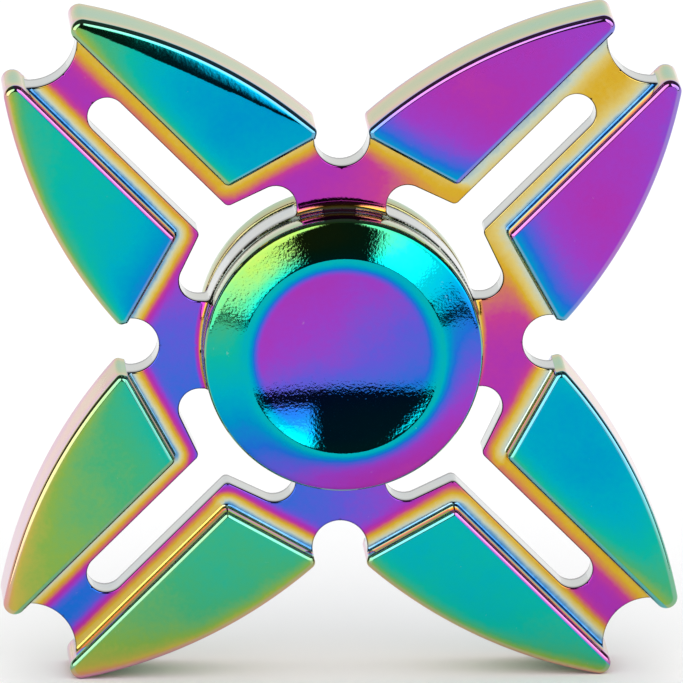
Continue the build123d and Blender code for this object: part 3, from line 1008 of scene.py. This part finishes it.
def studio_light():
    world = bpy.data.worlds.new("studio")
    bpy.context.scene.world = world
    world.use_nodes = True
    tree = world.node_tree
    back = tree.nodes["Background"]
    way = node(tree, "ShaderNodeSeparateXYZ")
    feed(tree, way.inputs[0], node(tree, "ShaderNodeTexCoord").outputs["Generated"])
    x, y, z = way.outputs
    sideways = calc(tree, "DEGREES", calc(tree, "ARCSINE", x))
    turn = calc(tree, "DEGREES", calc(tree, "ARCTAN2", z, calc(tree, "MULTIPLY", y, -1.0)))
    pitch = calc(tree, "ADD", turn, calc(tree, "MULTIPLY", calc(tree, "LESS_THAN", turn, -90.0), 360.0))
    elevation = calc(tree, "DEGREES", calc(tree, "ARCSINE", z))
    level = STUDIO_DARK
    for _, *panel in PANELS:
        level = softbox(tree, level, sideways, pitch, *panel)
    lean = calc(tree, "MULTIPLY", calc(tree, "MINIMUM", pitch, LEFT_BOX_LEAN_END), LEFT_BOX_LEAN)
    level = softbox(tree, level, calc(tree, "SUBTRACT", sideways, lean), pitch, *LEFT_BOX)
    table = remap(tree, elevation, TABLE_END - TABLE_SOFT, TABLE_END + TABLE_SOFT, TABLE_BRIGHT, 0.0, True)
    level = calc(tree, "MAXIMUM", level, table)
    glossy = node(tree, "ShaderNodeLightPath").outputs["Is Glossy Ray"]
    even = calc(tree, "MULTIPLY", calc(tree, "SUBTRACT", 1.0, glossy), EVEN_LIGHT)
    feed(tree, back.inputs["Strength"], calc(tree, "ADD", calc(tree, "MULTIPLY", glossy, level), even))
    back.inputs["Color"].default_value = (1, 1, 1, 1)


# ---- camera ----
CAMERA_AZ_DEG = -3.2
CAMERA_EL_DEG = 13.4
CAMERA_ROLL_DEG = 0.25
CAMERA_DISTANCE = 2000 * MM
CAMERA_LENS = 1093.7
AIM_RIGHT = 0.157 * MM
AIM_UP = -0.208 * MM
FLOOR_HALF = 3.0
FLOOR_FRONT = -0.307         # the table ends here, nearer than the camera


def make_camera():
    az, el = radians(CAMERA_AZ_DEG), radians(CAMERA_EL_DEG)
    back = Vector((sin(az) * cos(el), -cos(az) * cos(el), sin(el)))
    right = Vector((cos(az), sin(az), 0))
    up = back.cross(right)
    data = bpy.data.cameras.new("camera")
    data.lens = CAMERA_LENS
    data.sensor_width = 36.0
    data.clip_start, data.clip_end = 0.01, 50.0
    camera = bpy.data.objects.new("camera", data)
    bpy.context.scene.collection.objects.link(camera)
    turn = Matrix((right, up, back)).transposed().to_4x4()
    roll = Matrix.Rotation(radians(CAMERA_ROLL_DEG), 4, "Z")
    place = right * AIM_RIGHT + up * AIM_UP + back * CAMERA_DISTANCE
    camera.matrix_world = Matrix.Translation(place) @ turn @ roll
    bpy.context.scene.camera = camera


def make_floor(level):
    corners = [
        (-FLOOR_HALF, FLOOR_FRONT, level), (FLOOR_HALF, FLOOR_FRONT, level),
        (FLOOR_HALF, FLOOR_HALF, level), (-FLOOR_HALF, FLOOR_HALF, level),
    ]
    mesh = bpy.data.meshes.new("floor")
    mesh.from_pydata(corners, [], [(0, 1, 2, 3)])
    mesh.materials.append(floor_material())
    made = bpy.data.objects.new("floor", mesh)
    bpy.context.scene.collection.objects.link(made)


def repaint(nodes, material):
    for name in nodes:
        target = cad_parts[name]
        for slot in target.material_slots:
            slot.material = material


# ---- build ----
bpy.context.scene.view_settings.view_transform = "Standard"
body_plating = plating("plated_casting", 0.002, 0.006, 0.03, 0.07)
cap_plating = plating("plated_cap", 0.006, 0.003, 0.012, 0.03)

casting = mesh_object("claw_casting", *casting_mesh(), body_plating)
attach(casting, "spinner")
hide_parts("spinner_body")

for name, facing in (("front", -1), ("rear", 1)):
    cap = mesh_object(f"{name}_finger_cap", *cap_mesh(facing), cap_plating)
    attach(cap, "hub")
    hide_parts(f"{name}_cap")

balls = [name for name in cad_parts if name.startswith("ball_")]
repaint(["inner_race", "outer_race"], steel("ground_steel", (0.76, 0.76, 0.75), 0.5, 0.16, True))
repaint(balls, steel("ball_steel", (0.84, 0.84, 0.85), 0.7, 0.06, False))
repaint(
    ["front_cage_half", "rear_cage_half", "cage_rivets", "front_shield", "rear_shield",
     "front_snap_ring", "rear_snap_ring"],
    steel("pressed_steel", (0.70, 0.68, 0.64), 0.3, 0.30, False),
)
repaint(["axle_screw"], steel("screw_steel", (0.24, 0.24, 0.25), 0.25, 0.35, True))

make_floor(CAD_BOX[0].z)
studio_light()
make_camera()
